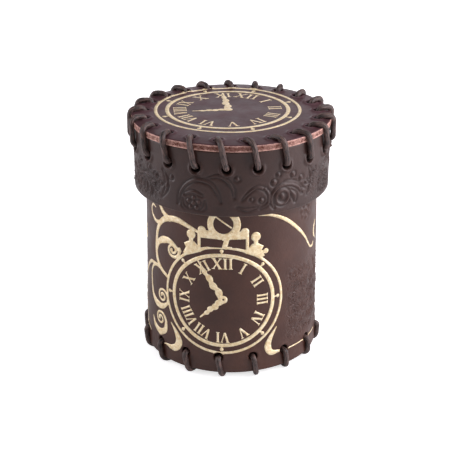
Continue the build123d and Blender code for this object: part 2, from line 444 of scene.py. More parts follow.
def scroll_group(side, shift):
    """Stems, spirals and leaves, as on the left of the clock face, or mirrored and moved."""

    shapes = []

    def sweep(widths, *points):
        shapes.append(swing([(side * x + shift, y) for x, y in points], widths))

    def curl(x, y, radius, start, turns, *widths):
        first = start if side > 0 else 180 - start
        shapes.append(spiral(side * x + shift, y, radius, first, side * turns, widths))

    # the upper stem, its twigs and its curled leaf
    sweep([0.6, 1.0, 1.4, 1.35, 1.0, 0.95, 1.0, 1.0, 0.8],
          (-15.2, 71.4), (-20.5, 73.4), (-27.0, 74.9), (-34.5, 72.9), (-39.4, 67.5), (-41.2, 59.5),
          (-40.6, 52.5), (-37.6, 48.2), (-32.3, 45.4))
    sweep([1.3, 1.1, 0.85, 0.2], (-31.0, 74.0), (-35.2, 76.2), (-38.6, 80.6), (-40.0, 85.0))
    sweep([1.1, 0.85, 0.6, 0.5, 0.5, 0.3],
          (-37.0, 70.6), (-41.0, 69.8), (-44.6, 71.6), (-45.8, 74.6), (-44.2, 77.0), (-41.6, 76.4))
    sweep([0.4, 1.2, 1.75, 1.3, 0.95, 0.7],
          (-41.0, 55.0), (-39.4, 60.0), (-35.0, 62.8), (-30.4, 63.2), (-26.4, 60.8), (-24.6, 60.4))
    curl(-28.9, 59.6, 4.1, 20, -1.55, 0.85, 0.6, 0.55, 0.6, 0.8)
    # the middle stem and leaf
    sweep([0.7, 0.9, 0.7, 0.5, 0.6],
          (-34.5, 46.6), (-39.6, 48.4), (-44.0, 47.0), (-46.4, 42.8), (-46.2, 36.6))
    sweep([0.6, 1.0, 1.7, 1.4, 0.7],
          (-46.2, 36.6), (-44.8, 31.8), (-41.0, 29.0), (-36.4, 29.0), (-32.6, 31.6))
    curl(-36.2, 34.3, 4.3, -30, 1.5, 0.7, 0.55, 0.5, 0.55, 0.8)
    # the long outer stem and the lower leaves
    sweep([0.7, 0.85, 0.6, 0.5, 0.45, 0.4, 0.35, 0.25],
          (-42.0, 48.4), (-47.5, 47.4), (-52.9, 42.2), (-57.0, 35.5), (-57.6, 28.0), (-56.4, 21.0),
          (-53.6, 14.4), (-48.6, 10.9))
    sweep([0.3, 1.3, 1.7, 1.3, 0.75],
          (-45.0, 20.4), (-42.8, 16.6), (-38.4, 15.2), (-34.4, 17.4), (-33.6, 22.0))
    curl(-37.9, 22.2, 4.1, 0, 1.5, 0.75, 0.55, 0.5, 0.5, 0.8)
    sweep([0.2, 1.2, 1.9, 1.7, 0.2],
          (-30.2, 23.0), (-26.8, 18.6), (-25.5, 14.0), (-28.4, 10.4), (-34.8, 10.4))
    return shapes


def right_scrolls():
    """Leaf, long curve and border line on the right of the clock face."""
    shapes = [swing([(21.2, 23.6), (18.2, 18.8), (16.9, 14.4), (18.8, 10.9), (24.0, 10.9)],
                    [0.2, 1.1, 1.7, 1.4, 0.4])]
    shapes.append(swing([(11.6, 79.8), (19.0, 78.7), (26.6, 74.8), (34.2, 68.4), (39.4, 63.0), (42.6, 58.6)],
                        [0.2, 0.65, 0.85, 0.8, 0.6, 0.45]))
    shapes.append(swing([(42.6, 58.6), (44.8, 56.0), (47.6, 55.2), (49.0, 56.6)], [0.45, 0.5, 0.55, 0.35]))
    shapes.append(swing([(52.0, 66.4), (50.0, 63.6), (49.8, 60.4), (51.6, 57.8)], [0.25, 0.7, 0.8, 0.3]))
    shapes.append(bar((28.0, 10.4), (52.0, 10.4), 0.28))
    return shapes


def back_scrolls():
    """The same scrolls again on the sides and the back, either side of the seam."""
    far_curl = spiral(-57.2, 58.6, 4.0, 60, 1.5, [0.5, 0.8, 0.5, 0.7])
    return scroll_group(1, -45.5) + scroll_group(-1, 44.0) + [far_curl]


def cup_drawing():
    """Everything in gold on the wall, cleared round the lace holes and the seam."""
    dial, hub = front_dial()
    frame_shapes, bow_hole, bow_line = crown()
    windows = [bar((-13.6, 66.9), (-4.2, 66.9), 1.9), bar((0.2, 66.9), (5.8, 66.9), 1.9)]
    shapes = dial + frame_shapes + scroll_group(1, 0) + right_scrolls() + back_scrolls()
    cut = hub + bow_hole
    for angle in wall_hole_angles:
        along = (angle + 180) % 360 - 180
        cut.append(disc(cup_plan_r * math.radians(along), wall_hole_z, lace_hole_r + 0.5))
    return shapes, cut, bow_line, windows


# ---- Gold foil: the drawing as a thin shell on the leather ----
def contour(field, low_x, low_y, step):
    """Closed outlines of the places where the field is below zero."""
    height, width = field.shape
    inside = field < 0
    code = inside[:-1, :-1] * 1 + inside[:-1, 1:] * 2 + inside[1:, 1:] * 4 + inside[1:, :-1] * 8
    rows, columns = np.nonzero((code > 0) & (code < 15))
    # sides of a cell: 0 low, 1 right, 2 high, 3 left; each walk keeps the inside on its left
    walks = {1: [(3, 0)], 2: [(0, 1)], 3: [(3, 1)], 4: [(1, 2)], 5: [(3, 0), (1, 2)], 6: [(0, 2)],
             7: [(3, 2)], 8: [(2, 3)], 9: [(2, 0)], 10: [(0, 1), (2, 3)], 11: [(2, 1)], 12: [(1, 3)],
             13: [(1, 0)], 14: [(0, 3)]}
    following = {}
    for row, column in zip(rows.tolist(), columns.tolist()):
        sides = [(row, column, 0), (row, column + 1, 1), (row + 1, column, 0), (row, column, 1)]
        for enter, leave in walks[int(code[row, column])]:
            following[sides[enter]] = sides[leave]
    loops = []
    while following:
        start = side = next(iter(following))
        loop = []
        while side in following:
            loop.append(side)
            side = following.pop(side)
        if side == start and len(loop) > 5:
            loops.append(loop)
    outlines = []
    for loop in loops:
        points = []
        for row, column, upright in loop:
            a = field[row, column]
            b = field[row + 1, column] if upright else field[row, column + 1]
            share = a / (a - b)
            points.append((low_x + step * (column + (0 if upright else share)),
                           low_y + step * (row + (share if upright else 0))))
        outlines.append(np.array(points))
    return outlines


def thinned(points, tolerance=0.02, longest=1.2):
    """Fewer points on a closed outline, none further than the tolerance from it."""
    kept, start, count = [0], 0, len(points)
    while start < count - 1:
        end = start + 1
        while end + 1 < count:
            chord = points[end + 1] - points[start]
            length = np.hypot(*chord)
            between = points[start + 1:end + 1] - points[start]
            gap = np.abs(between[:, 0] * chord[1] - between[:, 1] * chord[0]) / (length + 1e-9)
            if length > longest or gap.max() > tolerance:
                break
            end += 1
        kept.append(end)
        start = end
    kept = [index for index in kept if index < count]
    return points[kept]


def foil_piece(name, body, form, field_at, low, high, step=0.15):
    """Gold foil as a closed thin shell over a drawing, laid on a sheet."""
    columns = np.arange(low[0], high[0], step)
    rows = np.arange(low[1], high[1], step)
    grid_x, grid_y = np.meshgrid(columns, rows)
    field = field_at(grid_x.ravel(), grid_y.ravel()).reshape(grid_x.shape)
    points, edges = [], []
    for outline in contour(field, low[0], low[1], step):
        outline = thinned(outline)
        if len(outline) < 4:
            continue
        first = len(points)
        points += outline.tolist()
        count = len(outline)
        edges += [(first + n, first + (n + 1) % count) for n in range(count)]
    pace = max(1, round(0.9 / step))
    deep = field[::pace, ::pace] < -0.35
    points += np.stack([grid_x[::pace, ::pace][deep], grid_y[::pace, ::pace][deep]], -1).tolist()
    found = delaunay_2d_cdt([Vector(point) for point in points], edges, [], 0, 1e-5, False)
    flat = np.array([tuple(point) for point in found[0]])
    faces = np.array(found[2])
    middles = flat[faces].mean(1)
    faces = faces[field_at(middles[:, 0], middles[:, 1]) < 0]
    used, faces = np.unique(faces, return_inverse=True)
    flat, faces = flat[used], faces.reshape(-1, 3)
    count = len(flat)
    sides = {}
    for a, b, c in faces.tolist():
        for side in ((a, b), (b, c), (c, a)):
            sides[side] = True
    rims = [side for side in sides if side[::-1] not in sides]
    places = form.unplan(flat[:, 0], flat[:, 1])
    points = np.vstack([form.lay(*places, np.full(count, depth)) for depth in foil_depths])
    all_faces = faces.tolist() + (faces[:, ::-1] + count).tolist()
    all_faces += [(a, a + count, b + count, b) for a, b in rims]
    make_object(name, points, all_faces, gold_foil, body)


# ---- Leather sheets ----
class Strip:
    """A strip rolled into a tube: its plan is (distance round, height)."""

    closed = False

    def __init__(self, plan_r, outer, relief, wave):
        self.plan_r, self.outer, self.relief, self.wave = plan_r, outer, relief, wave

    def plan(self, angle, along):
        """A place on the plan from its angle and height."""
        return self.plan_r * angle, along

    def unplan(self, x, y):
        """The angle and height of a place on the plan."""
        return x / self.plan_r, y

    def lay(self, angle, along, depth):
        """Points in space, some way below the front face."""
        return polar(angle, self.outer(along) - depth + bulge(self, angle, along, depth), along)


class Disc:
    """A flat round sheet: its plan is (x, y). It faces up, or down when facing is -1."""

    closed = True

    def __init__(self, face_z, facing, relief, wave, edge_r, fray):
        self.face_z, self.facing, self.relief, self.wave = face_z, facing, relief, wave
        self.edge_r, self.fray = edge_r, fray

    def plan(self, angle, along):
        """A place on the plan from its angle and distance from the middle."""
        return along * np.sin(angle), -along * np.cos(angle)

    def unplan(self, x, y):
        """The angle and distance from the middle of a place on the plan."""
        return np.arctan2(x, -y), np.hypot(x, y)

    def lay(self, angle, along, depth):
        """Points in space, some way below the front face; the cut edge is frayed."""
        raised = bulge(self, angle, along, depth)
        on_edge = (along > self.edge_r - 0.1) * np.clip(np.minimum(depth, leather - depth) / 0.7, 0, 1)
        around = angle * self.edge_r
        torn = noise(around, depth * 2.5, 0.9, 21) + 0.6 * noise(around, depth, 3.1, 22)
        along = along - self.fray * on_edge * (torn + 0.6)
        return polar(angle, along, self.face_z + self.facing * (raised - depth))


def bulge(form, angle, along, depth):
    """How far a sheet is out of true: its embossing fades out below the face."""
    x, y = form.plan(angle, along)
    return form.wave(x, y) + form.relief(x, y) * np.clip(1 - depth / 0.8, 0, 1)


def rounded_edge(along, way):
    """Rows over a cut edge, from the front face to the back: (along, depth)."""
    turn = np.linspace(0, math.pi / 2, 5)
    front = [(along - way * edge_round * (1 - math.sin(t)), edge_round * (1 - math.cos(t)))
             for t in turn]
    middle = [(along, depth) for depth in (1.0, 1.3, 1.6, 1.9, 2.2)]
    back = [(place, leather - depth) for place, depth in front[::-1]]
    return front + middle + back


def boundary_of(cells, columns, closed):
    """The corners round a patch of removed cells, in order."""
    sides = set()
    for i, j in cells:
        k = (j + 1) % columns if closed else j + 1
        corners = [(i, j), (i, k), (i + 1, k), (i + 1, j)]
        for a, b in zip(corners, corners[1:] + corners[:1]):
            if (b, a) in sides:
                sides.remove((b, a))
            else:
                sides.add((a, b))
    following = dict(sides)
    start = next(iter(following))
    loop, corner = [start], following[start]
    while corner != start:
        loop.append(corner)
        corner = following[corner]
    return loop


def sheet_mesh(form, angles, front, rows_after, back, holes):
    """A punched leather sheet with rounded edges. front and back hold the same places near the holes."""
    rows = [(along, 0.0) for along in front] + rows_after[0] + [(along, leather) for along in back]
    rows += rows_after[1]
    count, columns = len(rows), len(angles)
    back_start = len(front) + len(rows_after[0])
    twin = {round(float(along), 4): back_start + n for n, along in enumerate(back)}
    along, angle = np.meshgrid([row[0] for row in rows], angles, indexing="ij")
    depth = np.repeat([[row[1]] for row in rows], columns, 1)
    row_cells = count - 1 if form.closed else count
    column_cells = columns if form.closed else columns - 1
    keep = np.ones((row_cells, column_cells), bool)
    extra, ring_faces = [], []
    plan_x, plan_y = form.plan(angle[:len(front)], along[:len(front)])
    next_x = np.roll(plan_x, -1, 1)
    next_y = np.roll(plan_y, -1, 1)
    middle_x = (plan_x[:-1] + plan_x[1:] + next_x[:-1] + next_x[1:])[:, :column_cells] / 4
    middle_y = (plan_y[:-1] + plan_y[1:] + next_y[:-1] + next_y[1:])[:, :column_cells] / 4
    for x, y, radius in holes:
        lip = radius + hole_lip * radius
        cells = np.argwhere(np.hypot(middle_x - x, middle_y - y) < lip)
        back_rows = [(twin[round(float(front[i + 1]), 4)], j) for i, j in cells]
        for (i, j), (m, n) in zip(cells, back_rows):
            keep[i, j] = False
            keep[m, n] = False
        loop = boundary_of([tuple(cell) for cell in cells.tolist()], columns, form.closed)
        front_ids, back_ids, ways = [], [], []
        for i, j in loop:
            way = math.atan2(plan_y[i, j] - y, plan_x[i, j] - x)
            m = twin[round(float(front[i]), 4)]
            place = form.unplan(x + lip * math.cos(way), y + lip * math.sin(way))
            for row in (i, m):
                angle[row, j], along[row, j] = place
            front_ids.append(i * columns + j)
            back_ids.append(m * columns + j)
            ways.append(way)
        rings = [front_ids]
        bore = [(0.3, 0.12), (0.0, 0.4), (0.0, leather / 2), (0.0, leather - 0.4), (0.3, leather - 0.12)]
        for share, drop in bore:
            reach = radius + share * (lip - radius)
            ids = []
            for way in ways:
                ids.append(count * columns + len(extra))
                extra.append((*form.unplan(x + reach * math.cos(way), y + reach * math.sin(way)), drop))
            rings.append(ids)
        rings.append(back_ids)
        for inner, outer in zip(rings[:-1], rings[1:]):
            for n in range(len(inner)):
                m = (n + 1) % len(inner)
                ring_faces.append((inner[n], inner[m], outer[m], outer[n]))
    i, j = np.nonzero(keep)
    this_row, next_row, beside = i * columns, (i + 1) % count * columns, (j + 1) % columns
    quads = np.stack([this_row + j, this_row + beside, next_row + beside, next_row + j], -1)
    faces = quads.tolist() + ring_faces
    angle, along, depth = angle.ravel(), along.ravel(), depth.ravel()
    if extra:
        angle, along, depth = np.hstack([[angle, along, depth], np.array(extra).T])
    if form.closed:
        angle = np.append(angle, [0.0, 0.0])
        along = np.append(along, [0.0, 0.0])
        depth = np.append(depth, [0.0, leather])
        top, under = len(angle) - 2, len(angle) - 1
        last = (count - 1) * columns
        faces += [(top, (n + 1) % columns, n) for n in range(columns)]
        faces += [(under, last + n, last + (n + 1) % columns) for n in range(columns)]
    else:
        faces.append([row * columns for row in range(count)][::-1])
        faces.append([row * columns + columns - 1 for row in range(count)])
    used, renumbered = np.unique(np.concatenate([np.asarray(face) for face in faces]), return_inverse=True)
    ends = np.cumsum([len(face) for face in faces])
    faces = [part.tolist() for part in np.split(renumbered, ends[:-1])]
    return angle[used], along[used], depth[used], faces


def leather_sheet(name, form, angles, front, rows_after, back, holes, material, body, slot, node,
                  tooling=None):
    """A punched sheet as a piece, with its depth below the face and its embossing as attributes."""
    angle, along, depth, faces = sheet_mesh(form, angles, front, rows_after, back, holes)
    piece = make_object(name, form.lay(angle, along, depth), faces, material, body, (node,))
    x, y = form.plan(angle, along)
    # a mask of the hole bores, which the material paints dark as shade
    in_hole = np.zeros(x.shape)
    for hole_x, hole_y, radius in holes:
        in_hole = np.maximum(in_hole, np.hypot(x - hole_x, y - hole_y) < 1.25 * radius)
    add_attribute(piece, "hole", in_hole * (depth < leather - 0.01))
    add_attribute(piece, "depth", depth)
    add_attribute(piece, "relief", form.relief(x, y))
    if tooling:
        add_attribute(piece, "tooled", tooling(x, y) * (depth < 0.5))


def back_rows(front, hole_place, seam_heights, every, reach=4.5):
    """The rows that the back shares with the front: all beside holes, few elsewhere."""
    kept = (np.abs(front - hole_place) < reach) | (np.arange(len(front)) % every == 0)
    for height in seam_heights:
        kept |= np.abs(front - height) < 1.4
    return front[kept][::-1]


def strip_angles(seam_angle, outer_r, columns):
    """Angles of a strip's columns, closer together beside the seam."""
    slit = seam_gap / 2 / outer_r
    dense = 7.0 / outer_r
    end = math.radians(seam_angle) - slit
    start = math.radians(seam_angle) - TURN + slit
    near_seam = np.linspace(0, dense, 22)
    middle = np.linspace(start + dense, end - dense, columns)
    return np.concatenate([start + near_seam[:-1], middle, (end - near_seam[:-1])[::-1]])


def strip_holes(angles, seam_angle, plan_r, height):
    """Lace holes of a rolled sheet, on its plan between the strip's two ends."""
    angles = [(angle - seam_angle) % 360 + seam_angle - 360 for angle in angles]
    return [(plan_r * math.radians(angle), height, lace_hole_r) for angle in angles]


def seam_fade(x, plan_r, seam_angle):
    """Zero at the seam's stitches, one away from them."""
    ends = plan_r * math.radians(seam_angle), plan_r * (math.radians(seam_angle) - TURN)
    gap = np.minimum(np.abs(x - ends[0]), np.abs(x - ends[1]))
    return np.clip((gap - 6.0) / 5.0, 0, 1)


def pucker(x, y, holes, height, low_lip):
    """Leather that stands up round the lace holes, more at the lip that the lace pulls."""
    total = np.zeros(x.shape)
    for hx, hy, radius in holes:
        gap = np.hypot(x - hx, y - hy)
        lean = (y - hy) / (gap + 0.01)
        total += height * np.exp(-(((gap - radius - 0.7) / 0.6) ** 2)) * (0.75 + low_lip * lean)
    return total


# ---- Embossing ----
def band_motif(shift):
    """One run of the floral embossing on the lid band."""
    raised = []

    def bead(x, y, radius):
        raised.append(disc(x + shift, y, radius))

    def sweep(half_widths, *points):
        raised.append(swing([(x + shift, y) for x, y in points], half_widths))

    # the large curl with its bead, its crest and its tail
    bead(22.8, 88.9, 1.5)
    raised.append(ring(22.8 + shift, 88.7, 3.2, 3.2, 1.9))
    sweep([0.4, 0.75, 0.85, 0.95, 1.1, 1.0, 0.3],
          (18.6, 84.4), (17.4, 87.6), (18.2, 91.2), (21.4, 93.7), (26.4, 94.1), (30.8, 92.0), (33.4, 88.2))
    sweep([0.6, 1.5, 0.5], (27.2, 90.6), (29.2, 88.2), (29.6, 85.4))
    # the beads above it and the line under them
    for x, y, radius in ((18.6, 96.0, 1.6), (20.6, 99.3, 1.25), (28.2, 98.0, 1.5), (32.9, 95.4, 1.45),
                         (36.2, 92.6, 1.1)):
        bead(x, y, radius)
    sweep([0.3, 0.7, 0.7, 0.2], (23.4, 95.6), (26.2, 95.2), (30.0, 93.9), (35.0, 90.2))
    # the leaf with two beads
    bead(12.9, 88.6, 1.3)
    bead(8.5, 89.4, 0.95)
    sweep([0.35, 0.6, 0.75, 0.9], (4.4, 89.4), (7.2, 92.6), (10.8, 94.8), (14.6, 93.6))
    sweep([0.9, 0.8, 0.7, 0.4], (14.6, 93.6), (16.4, 90.6), (15.8, 86.8), (12.4, 85.0))
    sweep([0.3, 0.9, 0.4], (2.0, 86.2), (6.4, 84.9), (11.0, 85.6))
    # the hood over the flower
    sweep([0.3, 0.75, 0.85, 0.9, 0.85, 0.7, 0.3],
          (-24.2, 85.8), (-22.8, 91.4), (-19.6, 95.6), (-15.2, 97.9), (-9.5, 97.0), (-6.4, 93.2),
          (-4.6, 88.4))
    sweep([0.3, 0.8, 0.85, 0.7, 0.25], (-11.4, 98.6), (-6.4, 100.3), (-2.2, 98.4), (0.4, 94.6), (1.0, 90.4))
    sweep([0.6, 0.85, 0.6], (-20.6, 90.9), (-16.8, 92.3), (-12.8, 90.9))
    raised.extend(rosette(-16.8 + shift, 87.0, 3.4, 5, 0.3))
    sweep([0.3, 0.7, 0.3], (-21.8, 88.4), (-21.6, 85.2), (-18.8, 83.4))
    sweep([0.3, 0.7, 0.3], (-11.6, 88.6), (-11.8, 85.4), (-14.4, 83.4))
    # loose beads, and the stem to the next run
    bead(2.2, 99.0, 1.25)
    bead(-27.6, 96.8, 1.2)
    bead(-30.4, 92.4, 1.4)
    sweep([0.3, 0.9, 0.9, 0.3], (37.6, 99.6), (39.6, 95.6), (39.4, 90.8), (36.8, 86.6))
    return raised


def band_embossing():
    """The motif four times round the lid band."""
    quarter = TURN * lid_band_r / 4
    shapes = []
    for n in range(-2, 3):
        shapes += band_motif(n * quarter)
    return shapes


def rosette(x, y, radius, petals, turn):
    """A small flower of round petals."""
    shapes = [disc(x, y, 0.34 * radius)]
    reach = 0.72 * radius
    for n in range(petals):
        way = turn + TURN * n / petals
        shapes.append(disc(x + reach * math.cos(way), y + reach * math.sin(way), 0.33 * radius))
    return shapes


def wall_embossing():
    """Close floral tooling on the right, the back and the left of the cup, clear of the gold in front."""
    draw = np.random.default_rng(11)
    shapes = rosette(40.5, 75.9, 5.0, 7, 0.3)
    spans = [(27.0, 122.0), (-122.0, -62.0)]
    for start, end in spans:
        for x in np.arange(start, end, 6.6):
            for row, y in enumerate(np.arange(15.5, 95.0, 6.2)):
                place_x = x + 3.3 * (row % 2) + draw.uniform(-0.9, 0.9)
                place_y = y + draw.uniform(-0.8, 0.8)
                turn, kind = draw.uniform(0, TURN), draw.integers(3)
                if y > 53 and abs(place_x) < 62:
                    continue
                if kind == 0:
                    shapes += rosette(place_x, place_y, 2.4, 5, turn)
                elif kind == 1:
                    start = math.degrees(turn)
                    shapes.append(spiral(place_x, place_y, 2.6, start, 1.2, [1.0, 0.8, 0.6, 0.7], 0.6))
                else:
                    for lean in (-0.7, 0.7):
                        way = turn + lean
                        tip = (place_x + 3.2 * math.cos(way), place_y + 3.2 * math.sin(way))
                        root = (place_x - 1.8 * math.cos(turn), place_y - 1.8 * math.sin(turn))
                        shapes.append(swing([root, (place_x, place_y), tip], [0.3, 0.95, 0.2]))
    return shapes


band_shapes = band_embossing()
wall_shapes = wall_embossing()
gold_shapes, gold_cut, gold_line, gold_windows = cup_drawing()
wall_holes = strip_holes(wall_hole_angles, cup_seam_angle, cup_plan_r, wall_hole_z)
band_holes = strip_holes(band_hole_angles, lid_seam_angle, lid_band_r, band_hole_z)


def disc_holes(angles, radius):
    """Lace holes of a round sheet, on its plan."""
    turns = [math.radians(angle) for angle in angles]
    return [(radius * math.sin(turn), -radius * math.cos(turn), lace_hole_r) for turn in turns]


base_holes = disc_holes(base_hole_angles, base_hole_r)
lid_holes = disc_holes(lid_hole_angles, lid_hole_r)


def thread_holes(seam_angle, plan_r, heights):
    """Small holes on both sides of an upright seam."""
    right, left = plan_r * math.radians(seam_angle), plan_r * (math.radians(seam_angle) - TURN)
    return [(x, height, thread_hole_r) for height in heights
            for x in (right - seam_hole_offset, left + seam_hole_offset)]


def wall_tooling(x, y):
    """How strongly the wall is tooled: not under the gold, at the seam or along the edges."""
    share = np.clip(drawn(x, y, gold_shapes, reach=2.5) / 2.0 - 0.25, 0, 1)
    share *= seam_fade(x, cup_plan_r, cup_seam_angle)
    share *= np.clip((y - 13.5) / 3, 0, 1) * np.clip((97 - y) / 3, 0, 1)
    side = np.clip((np.abs(x) - 58) / 6, 0, 1)
    low_right = np.clip((x - 25) / 5, 0, 1) * np.clip((53 - y) / 5, 0, 1)
    return share * np.maximum(side, low_right)


def wall_relief(x, y):
    """Embossing, smooth under the gold, and puckers on the cup wall."""
    flower = np.clip(1.6 - np.hypot(x - 40.5, y - 75.9) / 5.0, 0, 1)
    field = embossed(x, y, wall_shapes, 0.5, 0.36, soft=0.7, line=0.5)
    return field * np.maximum(wall_tooling(x, y), flower) + pucker(x, y, wall_holes, 0.32, 0.2)


def wall_wave(x, y):
    """The wall is not quite a true cone."""
    return 0.16 * noise(x + 300, y, 21, 3) * seam_fade(x, cup_plan_r, cup_seam_angle) - 0.05


def band_relief(x, y):
    """Embossing and puckers on the lid band."""
    field = embossed(x, y, band_shapes, 0.6, 0.5, soft=0.8, line=0.42)
    fade = seam_fade(x, lid_band_r, lid_seam_angle) * np.clip((y - band_low - 1.2) / 1.5, 0, 1)
    return field * fade + pucker(x, y, band_holes, 0.85, -0.65)


def band_tooling(x, y):
    """How strongly the band is tooled between its large shapes: on the sides and the back only."""
    share = np.clip((np.abs(x - 2) - 33) / 6, 0, 1) * seam_fade(x, lid_band_r, lid_seam_angle)
    return share * np.clip((y - band_low - 1.2) / 1.5, 0, 1) * np.clip((100 - y) / 3, 0, 1)


def band_wave(x, y):
    """The band is not quite round."""
    return 0.16 * noise(x + 300, y, 19, 5) * seam_fade(x, lid_band_r, lid_seam_angle)


def lid_relief(x, y):
    """The lace presses into the lid top where it crosses to the edge."""
    total = pucker(x, y, lid_holes, 0.6, 0.0)
    for angle in lid_hole_angles:
        start = polar(math.radians(angle), lid_hole_r + 1.0, 0.0)[:2]
        end = polar(math.radians(angle + lid_lean), lid_top_r, 0.0)[:2]
        gap = from_line(x, y, start, end)[1]
        total = total - 0.4 * np.exp(-((gap / 1.35) ** 2))
    return total


def lid_wave(x, y):
    """The lid top is a little uneven."""
    reach = np.hypot(x, y)
    return 0.2 * noise(x + 300, y + 300, 24, 7) - 0.25 * np.clip((reach - 36) / 9, 0, 1) ** 2


def base_relief(x, y):
    """A creased line round the underside, and puckered lace holes."""
    reach = np.hypot(x, y)
    return pucker(x, y, base_holes, 0.12, 0.0) - 0.4 * np.exp(-(((reach - groove_r) / 0.42) ** 2))


def flat_wave(x, y):
    """No unevenness."""
    return 0.0 * x


# ---- Materials ----
class Finish:
    """A node material that is built step by step."""

    def __init__(self, name):
        self.material = bpy.data.materials.new(name)
        self.material.use_nodes = True
        self.tree = self.material.node_tree
        self.shader = self.tree.nodes["Principled BSDF"]
        self.place = self.add("ShaderNodeTexCoord").outputs["Object"]

    def add(self, kind, inputs=None, **settings):
        """A node with its settings and inputs."""
        node = self.tree.nodes.new(kind)
        for key, value in settings.items():
            setattr(node, key, value)
        for key, value in (inputs or {}).items():
            self.fill(node.inputs[key], value)
        return node

    def fill(self, socket, value):
        """A link or a constant on a socket."""
        if isinstance(value, bpy.types.NodeSocket):
            self.tree.links.new(value, socket)
        else:
            socket.default_value = value

    def set(self, key, value):
        """An input of the shader."""
        self.fill(self.shader.inputs[key], value)

    def noise(self, size, detail=4.0, roughness=0.55, place=None, distortion=0.0):
        """Noise whose bumps are about `size` millimetres wide."""
        inputs = {"Vector": place or self.place, "Scale": 1 / (size * MM), "Detail": detail,
                  "Roughness": roughness, "Distortion": distortion}
        return self.add("ShaderNodeTexNoise", inputs).outputs["Fac"]

    def attribute(self, name, output="Fac"):
        """Values that the mesh carries at its points."""
        return self.add("ShaderNodeAttribute", attribute_name=name).outputs[output]

    def ramp(self, value, low, high, start=0.0, end=1.0):
        """The value from low to high, mapped to start to end."""
        inputs = {"Value": value, "From Min": low, "From Max": high, "To Min": start, "To Max": end}
        return self.add("ShaderNodeMapRange", inputs).outputs["Result"]

    def mix(self, share, first, second):
        """A colour between two colours."""
        node = self.add("ShaderNodeMix", data_type="RGBA")
        for socket, value in zip((node.inputs[0], node.inputs[6], node.inputs[7]), (share, first, second)):
            self.fill(socket, value)
        return node.outputs[2]

    def math(self, kind, first, second=0.0):
        """A sum, difference or the like."""
        return self.add("ShaderNodeMath", {0: first, 1: second}, operation=kind).outputs[0]

    def times(self, first, second):
        """A product."""
        return self.math("MULTIPLY", first, second)

    def bump(self, height, depth, strength=1.0, normal=None):
        """A bump whose full height is `depth` millimetres."""
        inputs = {"Height": height, "Distance": depth * MM, "Strength": strength}
        if normal:
            inputs["Normal"] = normal
        return self.add("ShaderNodeBump", inputs).outputs["Normal"]


def srgb(red, green, blue):
    """A linear colour from screen values."""
    values = [channel / 255 for channel in (red, green, blue)]
    return tuple(v / 12.92 if v <= 0.04045 else ((v + 0.055) / 1.055) ** 2.4 for v in values) + (1.0,)


def shade(colour, factor):
    """A darker or lighter tone of a colour."""
    return tuple(min(1.0, factor * channel) for channel in colour[:3]) + (1.0,)


def leather_finish(name, dark, light, raw_dark, raw_light, gloss):
    """Grained leather: mottled face, fibrous cut edges and a rough back."""
    finish = Finish(name)
    # the face: mottled, with painted shade that darkens the hollows of the embossing and a painted highlight
    # that lightens its crests
    mottled = finish.ramp(finish.noise(14, 5), 0.35, 0.68)
    speckled = finish.ramp(finish.noise(0.9, 3), 0.3, 0.75)
    painted_hollow_shade = finish.ramp(finish.attribute("relief"), -0.05, -0.4)
    painted_crest_highlight = finish.ramp(finish.attribute("relief"), 0.12, 0.42)
    face = finish.mix(mottled, dark, light)
    face = finish.mix(finish.times(speckled, 0.3), face, shade(dark, 0.6))
    # painted shade in the hollows and a painted highlight on the crests of the embossing and the puckers
    face = finish.mix(finish.times(painted_hollow_shade, 0.4), face, shade(dark, 0.35))
    face = finish.mix(finish.times(painted_crest_highlight, 0.1), face, shade(light, 1.9))
    # the bare cut edge: fibrous, with ragged pale lips; painted shade makes it darker in front and leaves it
    # paler on the sides
    depth = finish.attribute("depth")
    across = finish.add("ShaderNodeSeparateXYZ", {"Vector": finish.place}).outputs["X"]
    # painted shade: the cut edge is coloured darker near the front (small |x|) and paler towards the sides,
    # as the light falls
    painted_side_light = finish.ramp(finish.math("ABSOLUTE", across), 8 * MM, 28 * MM, 0.35, 1.0)
    fibres = finish.ramp(finish.noise(1.3, 7, 0.75, distortion=0.8), 0.4, 0.7)
    raggedness = finish.ramp(finish.noise(1.4, 5, 0.7), 0.3, 0.7, -0.5, 0.5)
    ragged = finish.math("ADD", depth, raggedness)
    off_middle = finish.math("ABSOLUTE", finish.math("SUBTRACT", ragged, leather / 2))
    lips = finish.ramp(off_middle, 0.7, 1.3)
    raw = finish.mix(painted_side_light, raw_dark, finish.mix(fibres, raw_dark, raw_light))
    raw = finish.mix(finish.times(lips, 0.7), raw, shade(raw_light, 1.3))
    # painted shade: the bores of the lace and thread holes are coloured dark
    raw = finish.mix(finish.attribute("hole"), raw, shade(dark, 0.45))
    cut = finish.ramp(finish.math("ADD", depth, finish.times(finish.noise(1.6, 3), 0.35)), 0.36, 0.56)
    finish.set("Base Color", finish.mix(cut, face, raw))
    # grain, wrinkles and fine tooling on the face, fibres on the edge and the back
    pores = finish.add("ShaderNodeTexVoronoi", {"Vector": finish.place, "Scale": 1 / (0.85 * MM),
                                                "Randomness": 0.95}, feature="SMOOTH_F1")
    grain = finish.bump(pores.outputs["Distance"], 0.05, 0.55)
    grain = finish.bump(finish.noise(2.6, 5), 0.14, 0.6, grain)
    tooled = finish.ramp(finish.noise(1.8, 2.5, 0.5, distortion=1.1), 0.36, 0.62)
    grain = finish.bump(tooled, 0.3, finish.attribute("tooled"), grain)
    rough = finish.bump(fibres, 0.12, 0.6, grain)
    normal = finish.add("ShaderNodeMix", {0: cut, 4: grain, 5: rough}, data_type="VECTOR").outputs[1]
    finish.set("Normal", normal)
    worn = finish.ramp(finish.noise(7, 4), 0.3, 0.7, gloss - 0.06, gloss + 0.1)
    finish.set("Roughness", finish.math("ADD", worn, finish.times(cut, 0.35)))
    finish.set("Specular IOR Level", 0.42)
    return finish.material


